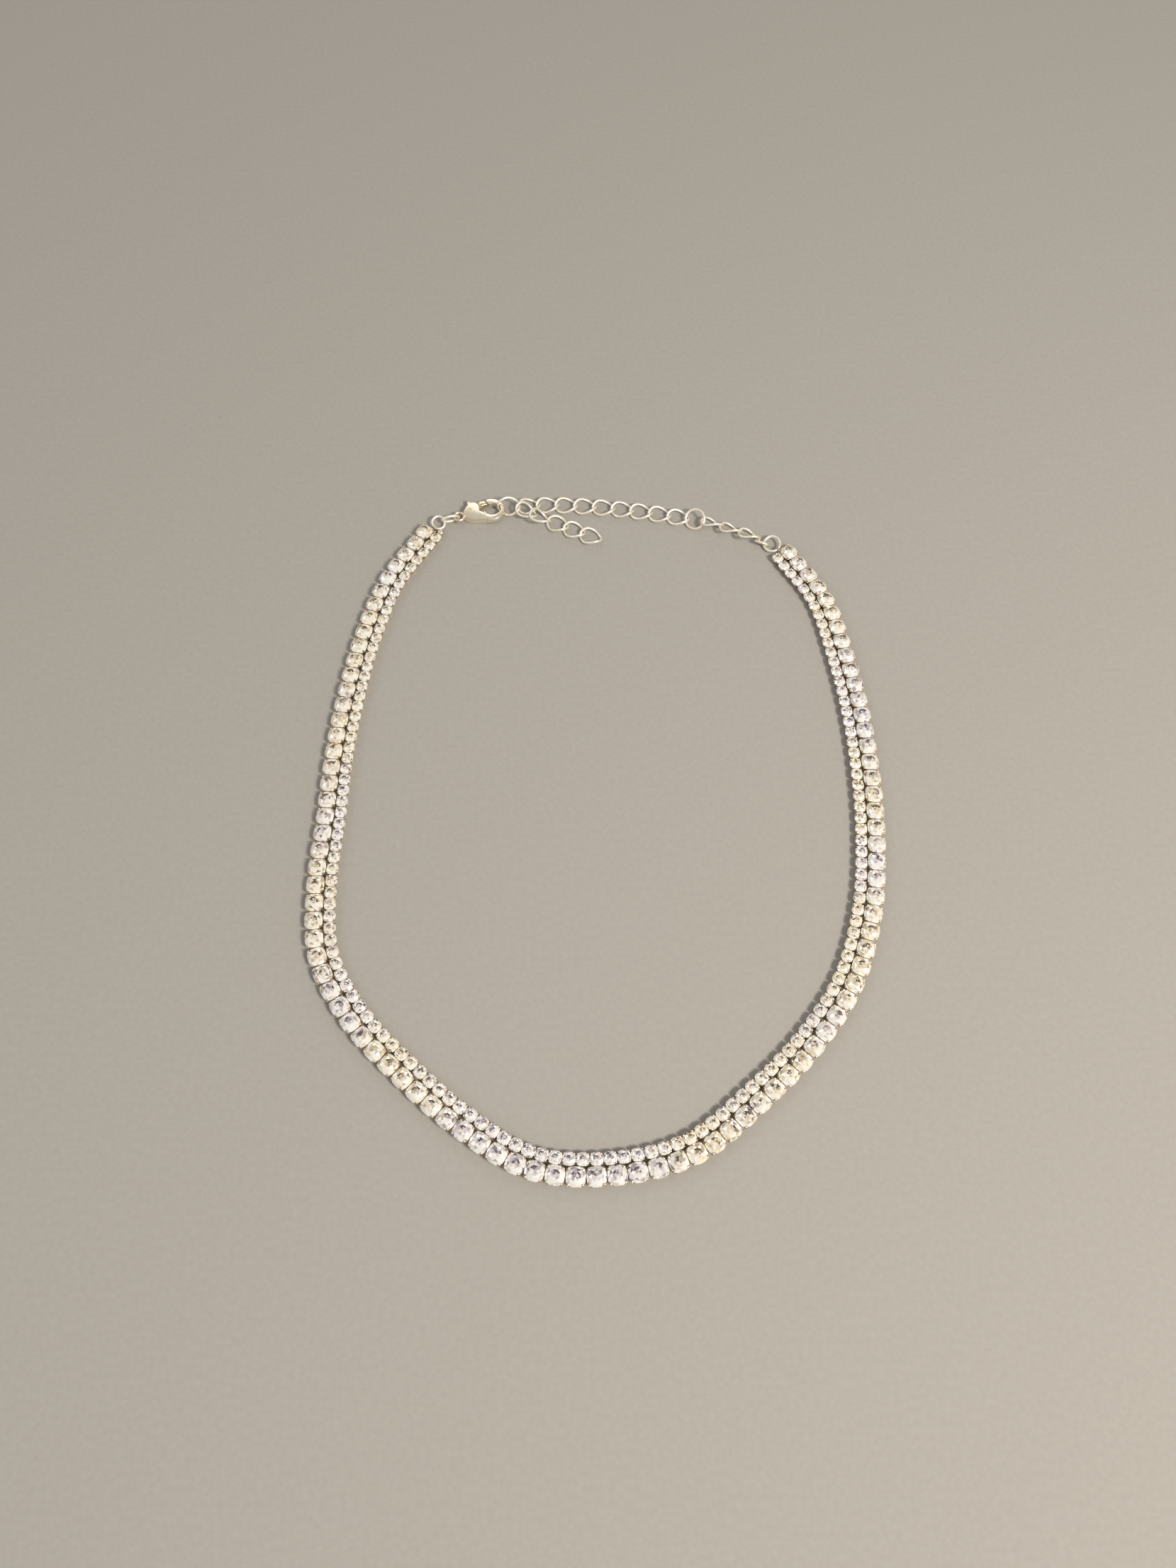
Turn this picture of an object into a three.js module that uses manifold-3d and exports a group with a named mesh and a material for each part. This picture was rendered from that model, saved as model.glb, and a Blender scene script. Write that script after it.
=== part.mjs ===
// A choker necklace that lies open on a table: two rows of cut stones in claw settings,
// closed at the back by a lobster clasp that holds one link of an extender chain.
// Millimetres. +Z is up, the stones face up, and the clasp is at +Y.
import * as THREE from "three";
import { ConvexGeometry } from "three/addons/geometries/ConvexGeometry.js";
import { mergeVertices } from "three/addons/utils/BufferGeometryUtils.js";
import Module from "manifold-3d";

// Stone rows: the large stones run along the outside of the loop, the small ones inside it.
const rowClearance = 0.15;
const largeStone = {
  pitch: 4.0, // along the row, from stone to stone
  width: 3.8, // of the square setting at its rim
  corner: 0.85, // cut off each corner of the rim
  base: 2.6, // width of the setting's flat underside
  rim: 1.75, // height of the rim
  table: 1.9, // across the flats of the stone's table
  top: 2.6, // height of the table
};
const smallStone = {
  pitch: 2.67,
  width: 2.5,
  base: 1.7,
  rim: 1.25,
  table: 1.25,
  top: 1.9,
};
const rowLink = { width: 0.8, height: 0.55, lift: 0.3, seat: 0.35 };

// The small loop that ends the band, and the smooth bead beside it.
const endLoop = { radius: 0.68, wire: 0.42, leftReach: 2.6, rightReach: 2.3, lift: 0.12 };
const endBead = { radius: 0.9, step: 2.1 };

// Wire rings and chain links. Sizes are outside sizes.
const linkGap = 0.13; // play between two wires that hold each other
const ringGap = 0.28; // further play where a ring holds a link
const wireSides = 5;
const linkSteps = 10;
const wire = 0.56;
const chainLink = { length: 6.1, width: 4.9, twist: 33 };
const claspRing = { length: 3.8, width: 3.8, roll: 12, lift: 1.0 };
const claspLink = { length: 4.95, width: 2.9, roll: -55, lift: 1.45 };
const middleRing = { length: 5.4, width: 5.4, roll: 30, lift: 1.6 };
const shortLink = { length: 3.9, width: 2.9, roll: -70, lift: 1.5 };
const endRing = { length: 4.6, width: 4.6, roll: 2, lift: 0.98 };
const plainLinks = 10; // from the clasp to the middle ring
// The links after the middle ring are pulled tight and lean over by these degrees.
const leaningPitch = 4.85;
const leaning = [{ roll: -38, lift: 1.95 }, { roll: -35, lift: 1.9 }, { roll: -35, lift: 1.9 }];
const heldLink = { roll: 18, lift: 1.6, pitch: -8 }; // the link that the clasp holds

// Lobster clasp, measured from the middle of its eye along its length.
const clasp = {
  thick: 2.2, // of the body's two cheeks
  hookThick: 1.1,
  hookLift: 0.8, // underside of the hook above the table
  eye: 1.55, // outer radius of the eye
  eyeHole: 0.9,
  eyeThick: 0.9,
  eyeLift: 0.9,
  neck: 0.85, // half width where the body meets the eye
  bodyStart: 1.55,
  near: -1.35, // the near and far sides of the body
  far: 3.0,
  hookAt: 8.2, // centre of the hook's bow
  hookOuter: 3.25,
  holeAt: 8.55,
  holeLength: 4.1,
  holeWidth: 3.4,
  bowStart: -125, // where the bow begins, in degrees round its centre
  tipAngle: 106, // where the hook's tip ends
  shoulder: 0.3, // how far along the body its near side is reached from the neck
  bellyAlong: 2.2, // the bulge of the near side between the shoulder and the bow
  bellyOut: 0.9,
  bevel: 0.3,
  fineBevel: 0.15,
};
const lever = {
  pivotAlong: 3.2,
  pivotAcross: 1.2,
  heel: 1.2, // radius round the pivot
  heelFrom: 200, // where that round begins and ends, in degrees
  heelTo: 290,
  web: 0.9, // thickness inside the body
  clearance: 0.15,
  cheekReach: 2.3, // from the pivot to the end of the cheeks
  nubWidth: 1.4,
  nubReach: 4.6,
  gateFrom: 6, // the gate's root, in degrees round the pivot
  gateTo: 38,
};
// Outline points along and across the clasp.
const bodyHeel = [2.15, 0.2];
const cheekRoute = [[6.45, -0.9], [5.73, -0.18]];
const cheekFarRoute = [[3.2, 3.0], [2.3, 2.3], [1.6, 1.35], [1.15, 0.6]];
const slotRoute = [[1.75, 0], [2.9, -0.25], [4.8, -1.1], [7.2, -0.6], [7.2, 6], [1.75, 6]];
const webRoute = [[6.2, 1.35], [7.0, 1.75], [6.6, 2.7], [4.6, 2.75], [3.9, 3.1]];
const gateRoute = [[6.5, 1.6], [7.6, 1.68], [7.02, 3.05], [5.9, 3.0]];
const pivotPin = { radius: 0.45, clearance: 0.12, sides: 12 };

// The band's middle line under the large stones, from its left end round the front.
const bandRoute = [
  [-43.0, 72.0], [-51.2, 57.8], [-55.7, 42.2], [-58.3, 26.7], [-59.8, 10.7], [-60.2, -5.2],
  [-60.7, -21.4], [-58.8, -37.0], [-51.0, -50.4], [-39.9, -61.6], [-27.6, -71.7],
  [-13.5, -79.5], [2.7, -80.5], [18.4, -76.6], [31.7, -66.6], [43.0, -55.7], [52.4, -42.6],
  [57.9, -27.0], [60.2, -11.1], [60.8, 5.1], [60.1, 21.1], [57.9, 37.2], [54.4, 52.6],
  [46.8, 65.8],
];
// The closure's middle line, from the band's left end to its right end.
const closureRoute = [
  [-39.7, 75.1], [-37.0, 76.1], [-34.0, 76.9], [-22.0, 79.8], [-12.6, 80.7], [-2.3, 80.2],
  [7.6, 79.1], [19.0, 77.1], [24.2, 75.8], [33.4, 72.4], [37.6, 70.7], [40.7, 69.0], [43.6, 68.2],
];
// How pieces settle clear of each other: a small shift, and a turn in degrees about the piece's
// own Z, Y and X.
const settled = {
  clasp_ring: { shift: [0.15, -0.07, 0.45], turn: [-29, -2, 9] },
  clasp_link: { shift: [0.47, 0.02, 0.03], turn: [1, 6, -27] },
  chain_link_1: { shift: [-0.32, -0.17, 0.25], turn: [-13, 7, 19] },
  tail_link_1: { shift: [-0.02, 0.02, -0.01], turn: [0, 2, 1] },
  tail_link_2: { shift: [-0.01, -0.61, 0.15], turn: [15, 13, 14] },
  middle_ring: { shift: [0.03, 0, 0.04], turn: [-3, -6, 3] },
  short_link: { shift: [-0.11, -0.28, -0.24], turn: [6, 6, 13] },
  end_ring: { shift: [-0.15, 0.12, 0.24], turn: [-9, -1, 12] },
};
// The loose end of the extender, from the link that the clasp holds: middle of each link.
const tailRoute = [
  { along: 4.25, across: -1.5, up: 0.8, yaw: -18, pitch: 19, roll: -12 },
  { along: 7.7, across: -2.9, up: 0.9, yaw: -29, pitch: 10, roll: -38 },
  { along: 12.0, across: -5.0, up: 0, yaw: -25, pitch: 0, roll: 0 },
  { along: 16.1, across: -6.9, up: 0, yaw: -25, pitch: 0, roll: 0 },
  { along: 20.2, across: -8.8, up: 0, yaw: -25, pitch: 0, roll: 0 },
];

const wasm = await Module();
wasm.setup();

const stoneFinish = { color: "#e9eaee", roughness: 0.12, metalness: 0.35 };
const silverFinish = { color: "#cfc9bd", roughness: 0.22, metalness: 1 };
const leverFinish = { color: "#c9bda8", roughness: 0.26, metalness: 1 };

const degrees = THREE.MathUtils.degToRad;

// Closed solids from geometry and back.
function solid(geometry) {
  const bare = geometry.clone();
  bare.deleteAttribute("normal");
  bare.deleteAttribute("uv");
  const welded = mergeVertices(bare, 1e-4);
  return new wasm.Manifold(new wasm.Mesh({
    numProp: 3,
    vertProperties: new Float32Array(welded.attributes.position.array),
    triVerts: new Uint32Array(welded.index.array),
  }));
}

function geometryOf(body) {
  const { vertProperties, triVerts } = body.getMesh();
  const geometry = new THREE.BufferGeometry();
  geometry.setAttribute("position", new THREE.BufferAttribute(vertProperties, 3));
  geometry.setIndex(new THREE.BufferAttribute(triVerts, 1));
  return geometry;
}

function joined(geometries) {
  return geometries.map(solid).reduce((whole, next) => whole.add(next));
}

function piece(name, geometry, finish) {
  const bare = geometry.clone();
  bare.deleteAttribute("uv");
  const mesh = new THREE.Mesh(bare, new THREE.MeshStandardMaterial(finish));
  mesh.name = name;
  return mesh;
}

// A frame at a place, turned about Z, then tipped about its own Y, then rolled about its own X.
function frameAt(place, yaw = 0, pitch = 0, roll = 0) {
  return new THREE.Matrix4()
    .makeRotationZ(yaw)
    .multiply(new THREE.Matrix4().makeRotationY(pitch))
    .multiply(new THREE.Matrix4().makeRotationX(roll))
    .setPosition(place);
}

// Routes.
function curveThrough(points) {
  const curve = new THREE.CatmullRomCurve3(points);
  curve.arcLengthDivisions = 1500;
  return curve;
}

function flat([x, y]) {
  return new THREE.Vector3(x, y, 0);
}

function headingAt(curve, share) {
  const tangent = curve.getTangentAt(share);
  return Math.atan2(tangent.y, tangent.x);
}

// Evenly spaced places along a curve, as near to the pitch as whole stones allow.
function stations(curve, pitch) {
  const count = Math.round(curve.getLength() / pitch);
  return Array.from({ length: count + 1 }, (_, i) => ({
    place: curve.getPointAt(i / count),
    yaw: headingAt(curve, i / count),
  }));
}

// Stones and settings.
function squareRing(width, corner, height) {
  const half = width / 2;
  const inner = half - corner;
  const quarter = corner > 0 ? [[half, -inner], [half, inner]] : [[half, half]];
  return [0, 1, 2, 3].flatMap((turn) => quarter.map(([x, y]) =>
    new THREE.Vector3(x, y, height).applyAxisAngle(new THREE.Vector3(0, 0, 1), turn * Math.PI / 2)));
}

function octagon(across, height) {
  return squareRing(across, across / 2 * (2 - Math.SQRT2), height);
}

// A setting that widens from a square foot to its rim, and its stone: eight crown facets that
// rise to a flat eight-sided table. With a square rim four of the facets are three-sided.
function setStone({ base, width, corner = 0, rim, table, top }) {
  return new ConvexGeometry([
    ...squareRing(base, 0, 0), ...squareRing(width, corner, rim), ...octagon(table, top),
  ]);
}

// The bar under the rims that joins one setting to the next.
function linkBar(from, to, base) {
  const run = to.place.clone().sub(from.place);
  const length = run.length() - base + 2 * rowLink.seat;
  const bar = new THREE.BoxGeometry(length, rowLink.width, rowLink.height);
  const middle = from.place.clone().add(to.place).multiplyScalar(0.5);
  middle.z = rowLink.lift + rowLink.height / 2;
  return bar.applyMatrix4(frameAt(middle, Math.atan2(run.y, run.x)));
}

function stoneRow(places, size) {
  const one = setStone(size);
  const stones = places.map(({ place, yaw }) => one.clone().applyMatrix4(frameAt(place, yaw)));
  const bars = places.slice(1).map((next, i) => linkBar(places[i], next, size.base));
  return [...stones, ...bars];
}

// Where the band ends: outwards from its last large stone, and half way between the rows.
function bandEnd(station, outwards, reach) {
  const along = new THREE.Vector3(Math.cos(station.yaw), Math.sin(station.yaw), 0);
  const inwards = new THREE.Vector3(-along.y, along.x, 0);
  const place = station.place.clone()
    .addScaledVector(along, outwards * reach)
    .addScaledVector(inwards, rowSpacing / 2);
  place.z = endLoop.lift + endLoop.radius + endLoop.wire / 2;
  return { place, inwards, backwards: along.multiplyScalar(-outwards), station };
}

// An upright loop on a short foot that is soldered to the last large setting. The foot runs to
// the middle of the loop's wire at the foot's own height.
function endLoopParts(end) {
  const loop = new THREE.TorusGeometry(endLoop.radius, endLoop.wire / 2, wireSides, 10);
  const across = Math.atan2(end.inwards.y, end.inwards.x);
  loop.rotateX(Math.PI / 2);
  loop.applyMatrix4(frameAt(end.place, across - Math.PI / 2));
  const start = end.station.place.clone().setZ(rowLink.lift + rowLink.height / 2);
  const drop = end.place.z - start.z;
  const inset = Math.sqrt(endLoop.radius ** 2 - drop ** 2);
  const wireSpot = end.place.clone().addScaledVector(end.backwards, inset).setZ(start.z);
  const run = wireSpot.clone().sub(start);
  const foot = new THREE.BoxGeometry(run.length(), rowLink.width, rowLink.height);
  const middle = start.clone().add(wireSpot).multiplyScalar(0.5);
  foot.applyMatrix4(frameAt(middle, Math.atan2(run.y, run.x)));
  return [loop, foot];
}

// Wire loops.
// The line in the middle of a link's wire. A flat side of the loop, not a corner, is at each end,
// and the loop is drawn round its size so that its sides reach it.
class LinkCurve extends THREE.Curve {
  constructor(halfLength, halfWidth, twistStart, twistEnd, steps) {
    super();
    const round = 1 / Math.cos(Math.PI / steps);
    Object.assign(this, {
      halfLength: halfLength * round, halfWidth: halfWidth * round, twistStart, twistEnd, steps,
    });
  }

  getPoint(share, target = new THREE.Vector3()) {
    const angle = share * 2 * Math.PI + Math.PI / this.steps;
    const x = this.halfLength * Math.cos(angle);
    const side = this.halfWidth * Math.sin(angle);
    const reach = (x / this.halfLength + 1) / 2;
    const roll = this.twistStart + (this.twistEnd - this.twistStart) * reach;
    return target.set(x, side * Math.cos(roll), side * Math.sin(roll));
  }

  getPointAt(share, target) {
    return this.getPoint(share, target);
  }

  getTangentAt(share, target) {
    return this.getTangent(share, target);
  }
}

// Outside length and width, and the roll in degrees at the link's two ends.
function wireLoop({ length, width }, rollStart, rollEnd) {
  const curve = new LinkCurve(
    halfLine(length), halfLine(width), degrees(rollStart), degrees(rollEnd), linkSteps);
  return new THREE.TubeGeometry(curve, linkSteps, wire / 2, wireSides, true);
}

// Half the size of a loop's wire line.
function halfLine(outside) {
  return (outside - wire) / 2;
}

// The closure: each piece's middle lies on the closure's route.
const largeCurve = curveThrough(bandRoute.map(flat));
const rowSpacing = (largeStone.width + smallStone.width) / 2 + rowClearance;
const largePlaces = stations(largeCurve, largeStone.pitch);
const smallCurve = curveThrough(largePlaces.map(({ place, yaw }) =>
  new THREE.Vector3(-Math.sin(yaw), Math.cos(yaw), 0).multiplyScalar(rowSpacing).add(place)));
const smallPlaces = stations(smallCurve, smallStone.pitch);
const leftEnd = bandEnd(largePlaces[0], -1, endLoop.leftReach);
const rightEnd = bandEnd(largePlaces.at(-1), 1, endLoop.rightReach);
const closure = curveThrough([
  leftEnd.place.clone().setZ(0), ...closureRoute.map(flat), rightEnd.place.clone().setZ(0),
]);
const closureLength = closure.getLength();

function onClosure(distance, up) {
  const share = THREE.MathUtils.clamp(distance / closureLength, 0, 1);
  return { place: closure.getPointAt(share).setZ(up), yaw: headingAt(closure, share) };
}

// How far the wire lines of two held loops overlap.
const hold = wire + linkGap;
const ringHold = hold + ringGap;

const ringHalf = halfLine(claspRing.length);
const claspLinkHalf = halfLine(claspLink.length);
const middleHalf = halfLine(middleRing.length);
const shortHalf = halfLine(shortLink.length);
const endHalf = halfLine(endRing.length);
const linkHalf = halfLine(chainLink.length);

// Distances along the closure: from the left end to the link that the clasp holds.
const ringAt = ringHalf;
const claspLinkAt = ringAt + ringHalf + claspLinkHalf - ringHold;
const eyePlay = clasp.eyeHole - wire / 2 - linkGap;
const eyeAt = claspLinkAt + claspLinkHalf + eyePlay;
const holdAt = eyeAt + clasp.holeAt + clasp.holeLength / 2 - wire / 2 - linkGap;
const heldLinkAt = holdAt + linkHalf;

// From the right end back to the middle ring.
const endRingAt = closureLength - endHalf;
const shortLinkAt = endRingAt - endHalf - shortHalf + ringHold;
const lastLeaningAt = shortLinkAt - shortHalf - linkHalf + ringHold;
const firstLeaningAt = lastLeaningAt - (leaning.length - 1) * leaningPitch;
const middleRingAt = firstLeaningAt - linkHalf - middleHalf + hold;

// The plain links share out what is left between the two.
const lastPlainAt = middleRingAt - middleHalf - linkHalf + ringHold;
const linkPitch = (lastPlainAt - heldLinkAt) / (plainLinks - 1);
const chainLift = 0.96;

function chainLinkPiece(name, spot, roll, pitch = 0) {
  const loop = wireLoop(chainLink, chainLink.twist + roll, roll - chainLink.twist);
  const mesh = piece(name, loop, silverFinish);
  mesh.applyMatrix4(frameAt(spot.place, spot.yaw, pitch));
  return mesh;
}

function ringPiece(name, size, spot) {
  const mesh = piece(name, wireLoop(size, size.roll, size.roll), silverFinish);
  mesh.applyMatrix4(frameAt(spot.place, spot.yaw));
  return mesh;
}

// Lobster clasp.
function slab(shape, low, high, bevel, curveSegments = 8) {
  const geometry = new THREE.ExtrudeGeometry(shape, {
    depth: high - low - 2 * bevel,
    bevelEnabled: bevel > 0,
    bevelThickness: bevel,
    bevelSize: bevel,
    bevelOffset: -bevel,
    bevelSegments: 1,
    curveSegments,
  });
  return geometry.translate(0, 0, low + bevel);
}

const pivot = new THREE.Vector2(lever.pivotAlong, lever.pivotAcross);

function onBow(radius, angle) {
  return new THREE.Vector2(
    clasp.hookAt + radius * Math.cos(degrees(angle)), radius * Math.sin(degrees(angle)));
}

// The near side of the body, from its neck to where the bow begins.
function nearSide(shape, startAlong, bowInset) {
  const bow = onBow(clasp.hookOuter, clasp.bowStart);
  shape.moveTo(startAlong, -clasp.neck);
  shape.lineTo(clasp.bodyStart + clasp.shoulder, clasp.near);
  shape.quadraticCurveTo(
    clasp.bodyStart + clasp.bellyAlong, clasp.near - clasp.bellyOut, bow.x, bow.y + bowInset);
}

function hookShape() {
  const shape = new THREE.Shape();
  const tip = degrees(clasp.tipAngle);
  nearSide(shape, clasp.bodyStart, 0);
  shape.absarc(clasp.hookAt, 0, clasp.hookOuter, degrees(clasp.bowStart), tip, false);
  shape.absellipse(
    clasp.holeAt, 0, clasp.holeLength / 2, clasp.holeWidth / 2, tip, -Math.PI, true);
  shape.lineTo(...bodyHeel);
  return shape;
}

function cheekShape() {
  const shape = new THREE.Shape();
  nearSide(shape, cheekFarRoute.at(-1)[0], clasp.fineBevel);
  addPoints(shape, cheekRoute);
  const [lowAlong, lowAcross] = cheekRoute.at(-1);
  const startAngle = Math.atan2(lowAcross - pivot.y, lowAlong - pivot.x);
  const endAngle = Math.asin((clasp.far - pivot.y) / lever.cheekReach);
  shape.absarc(pivot.x, pivot.y, lever.cheekReach, startAngle, endAngle, false);
  addPoints(shape, cheekFarRoute);
  return shape;
}

function addPoints(shape, points) {
  points.forEach(([along, across]) => shape.lineTo(along, across));
}

function circleShape(x, y, radius) {
  const shape = new THREE.Shape();
  shape.absarc(x, y, radius, 0, 2 * Math.PI, false);
  return shape;
}

const hookHigh = clasp.hookLift + clasp.hookThick;

// Cutters run this far past the clasp's faces.
const cutPast = 1;

function throughHole(x, y, radius) {
  return solid(slab(circleShape(x, y, radius), -cutPast, clasp.thick + cutPast, 0, 5));
}

const pinHole = () => throughHole(pivot.x, pivot.y, pivotPin.radius + pivotPin.clearance);

function claspBody() {
  const eye = slab(circleShape(0, 0, clasp.eye), clasp.eyeLift, clasp.eyeLift + clasp.eyeThick,
    clasp.fineBevel, 4);
  const hook = slab(hookShape(), clasp.hookLift, hookHigh, clasp.bevel, 6);
  const cheeks = slab(cheekShape(), 0, clasp.thick, clasp.fineBevel, 4);
  const slotLow = (clasp.thick - lever.web) / 2 - lever.clearance;
  const slot = new THREE.Shape(slotRoute.map(([x, y]) => new THREE.Vector2(x, y)));
  const room = solid(slab(slot, slotLow, clasp.thick - slotLow, 0));
  return joined([eye, hook, cheeks])
    .subtract(throughHole(0, 0, clasp.eyeHole)).subtract(room).subtract(pinHole());
}

// A web between the cheeks with a thumb nub, and a gate that closes the hook.
function leverBody() {
  const low = (clasp.thick - lever.web) / 2;
  const nubNear = pivot.x - lever.nubWidth / 2;
  const nubFar = pivot.x + lever.nubWidth / 2;
  const web = new THREE.Shape();
  web.absarc(pivot.x, pivot.y, lever.heel, degrees(lever.heelFrom), degrees(lever.heelTo), false);
  addPoints(web, [...webRoute, [nubFar, lever.nubReach], [nubNear, lever.nubReach]]);
  web.lineTo(nubNear, pivot.y + lever.heel);
  const gate = new THREE.Shape();
  const root = lever.cheekReach + lever.clearance;
  gate.absarc(pivot.x, pivot.y, root, degrees(lever.gateTo), degrees(lever.gateFrom), true);
  addPoints(gate, gateRoute);
  return joined([
    slab(web, low, clasp.thick - low, 0),
    slab(gate, clasp.hookLift, hookHigh, lever.clearance, 2),
  ]).subtract(pinHole());
}

function pinGeometry() {
  const pin = new THREE.CylinderGeometry(pivotPin.radius, pivotPin.radius, clasp.thick, pivotPin.sides);
  return pin.rotateX(Math.PI / 2).translate(pivot.x, pivot.y, clasp.thick / 2);
}

// The clasp lies straight between its eye and the middle of its hook.
function claspFrame() {
  const eye = onClosure(eyeAt, 0).place;
  const held = onClosure(holdAt, 0).place;
  return frameAt(eye, Math.atan2(held.y - eye.y, held.x - eye.x));
}

function bandPieces() {
  const large = stoneRow(largePlaces, largeStone);
  const small = stoneRow(smallPlaces, smallStone);
  const first = smallPlaces[0];
  const bead = new THREE.SphereGeometry(endBead.radius, 10, 6).rotateX(Math.PI / 2);
  const beadSpot = first.place.clone()
    .add(new THREE.Vector3(-Math.cos(first.yaw), -Math.sin(first.yaw), 0)
      .multiplyScalar(endBead.step));
  beadSpot.z = endBead.radius;
  bead.applyMatrix4(frameAt(beadSpot, first.yaw));
  const bar = linkBar(first, { place: beadSpot.clone().setZ(0) }, smallStone.base);
  return [
    piece("large_stone_row", geometryOf(joined(
      [...large, ...endLoopParts(leftEnd), ...endLoopParts(rightEnd)])), stoneFinish),
    piece("small_stone_row", geometryOf(joined([...small, bead, bar])), stoneFinish),
  ];
}

function closurePieces() {
  const pieces = [
    ringPiece("clasp_ring", claspRing, onClosure(ringAt, claspRing.lift)),
    ringPiece("clasp_link", claspLink, onClosure(claspLinkAt, claspLink.lift)),
  ];
  const claspTurn = claspFrame();
  for (const [name, geometry, finish] of [
    ["clasp_body", geometryOf(claspBody()), silverFinish],
    ["clasp_lever", geometryOf(leverBody()), leverFinish],
    ["clasp_pin", pinGeometry(), silverFinish],
  ]) {
    const mesh = piece(name, geometry, finish);
    mesh.applyMatrix4(claspTurn);
    pieces.push(mesh);
  }
  pieces.push(chainLinkPiece(
    "chain_link_1", onClosure(heldLinkAt, heldLink.lift), heldLink.roll, degrees(heldLink.pitch)));
  for (let i = 1; i < plainLinks; i++) {
    const spot = onClosure(heldLinkAt + i * linkPitch, chainLift);
    pieces.push(chainLinkPiece(`chain_link_${i + 1}`, spot, 0));
  }
  pieces.push(ringPiece("middle_ring", middleRing, onClosure(middleRingAt, middleRing.lift)));
  leaning.forEach(({ roll, lift }, i) => {
    const spot = onClosure(firstLeaningAt + i * leaningPitch, lift);
    pieces.push(chainLinkPiece(`leaning_link_${i + 1}`, spot, roll));
  });
  pieces.push(ringPiece("short_link", shortLink, onClosure(shortLinkAt, shortLink.lift)));
  pieces.push(ringPiece("end_ring", endRing, onClosure(endRingAt, endRing.lift)));
  return pieces;
}

function tailPieces() {
  const held = onClosure(heldLinkAt, chainLift);
  return tailRoute.map((row, i) => {
    const offset = new THREE.Vector3(row.along, row.across, row.up);
    const place = held.place.clone().add(offset);
    return chainLinkPiece(
      `tail_link_${i + 1}`, { place, yaw: degrees(row.yaw) }, row.roll, degrees(row.pitch));
  });
}

function settle(mesh) {
  const { shift, turn } = settled[mesh.name];
  const [z, y, x] = turn.map(degrees);
  mesh.position.add(new THREE.Vector3(...shift));
  mesh.quaternion.multiply(new THREE.Quaternion().setFromEuler(new THREE.Euler(x, y, z, "ZYX")));
}

const necklace = new THREE.Group();
necklace.add(...bandPieces(), ...closurePieces(), ...tailPieces());
necklace.children.filter((mesh) => mesh.name in settled).forEach(settle);

// The origin is under the middle of the whole necklace, on the table.
const box = new THREE.Box3().setFromObject(necklace, true);
const centre = box.getCenter(new THREE.Vector3());
necklace.position.set(-centre.x, -centre.y, -box.min.z);

export default necklace;
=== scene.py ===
import math
import random

import bmesh
import bpy
from mathutils import Euler, Matrix, Vector


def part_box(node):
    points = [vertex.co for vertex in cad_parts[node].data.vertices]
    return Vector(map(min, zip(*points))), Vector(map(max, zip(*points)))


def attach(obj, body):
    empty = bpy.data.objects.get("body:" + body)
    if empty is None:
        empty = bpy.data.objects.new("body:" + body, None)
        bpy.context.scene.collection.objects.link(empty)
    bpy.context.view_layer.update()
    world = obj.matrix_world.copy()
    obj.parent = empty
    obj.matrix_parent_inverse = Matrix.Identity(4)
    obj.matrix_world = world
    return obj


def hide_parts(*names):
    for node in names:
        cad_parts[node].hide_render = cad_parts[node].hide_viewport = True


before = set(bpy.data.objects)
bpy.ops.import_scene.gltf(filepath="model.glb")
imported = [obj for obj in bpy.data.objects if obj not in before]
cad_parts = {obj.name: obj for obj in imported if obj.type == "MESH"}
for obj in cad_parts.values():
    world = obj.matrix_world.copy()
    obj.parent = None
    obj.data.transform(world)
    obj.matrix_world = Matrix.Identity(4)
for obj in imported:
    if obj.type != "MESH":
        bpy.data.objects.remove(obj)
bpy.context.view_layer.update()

MM = 0.001
QUARTER = math.pi / 2
WHOLE = 2 * math.pi

# ---- Camera: it stands in front of the necklace and looks down on it.
CAMERA_PLACE = (-2.52, -110.68, 237.7)  # mm
CAMERA_ELEVATION = 64.4  # degrees
SENSOR_WIDTH = 36
FOCAL_PIXELS = 1662
PICTURE_HEIGHT = 2212
CLIP_START = 0.01


def add_camera():
    data = bpy.data.cameras.new("camera")
    data.sensor_fit = "AUTO"
    data.sensor_width = SENSOR_WIDTH
    data.lens = SENSOR_WIDTH * FOCAL_PIXELS / PICTURE_HEIGHT
    data.clip_start = CLIP_START
    camera = bpy.data.objects.new("camera", data)
    camera.location = Vector(CAMERA_PLACE) * MM
    camera.rotation_euler = (math.radians(90 - CAMERA_ELEVATION), 0, 0)
    bpy.context.scene.collection.objects.link(camera)
    bpy.context.scene.camera = camera


# ---- Materials.
# The painted reflection tones that a facet can have, from dim to bright: where each begins, and its
# colour on the cool and on the warm side of the room.
PAINTED_REFLECTION_TONES = (
    (0.0, "#5c5460", "#60564c"),
    (0.12, "#8c828e", "#988a78"),
    (0.25, "#bcb2ba", "#ccbda2"),
    (0.4, "#e2dbda", "#ecdfc2"),
    (0.58, "#faf6f0", "#fdf6e3"),
    (0.78, "#ffffff", "#fffdf4"),
    (1.0, "#ffffff", "#ffffff"),
)
# The colour mix node's sockets, which share their names with other sockets of that node.
MIX_SHARE, MIX_FIRST, MIX_SECOND, MIX_RESULT = 0, 6, 7, 2
CLOUD_GRAINS = 4  # a cloudy patch is this many grains wide
CLOUD_DULLS = 0.1  # what a cloudy patch adds to the roughness
SCRATCH_DEPTH = 0.03 * MM


def linear(hex_colour):
    """The linear colour of an sRGB hex value."""
    parts = [int(hex_colour[i:i + 2], 16) / 255 for i in (1, 3, 5)]
    return [p / 12.92 if p <= 0.04045 else ((p + 0.055) / 1.055) ** 2.4 for p in parts] + [1]


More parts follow.
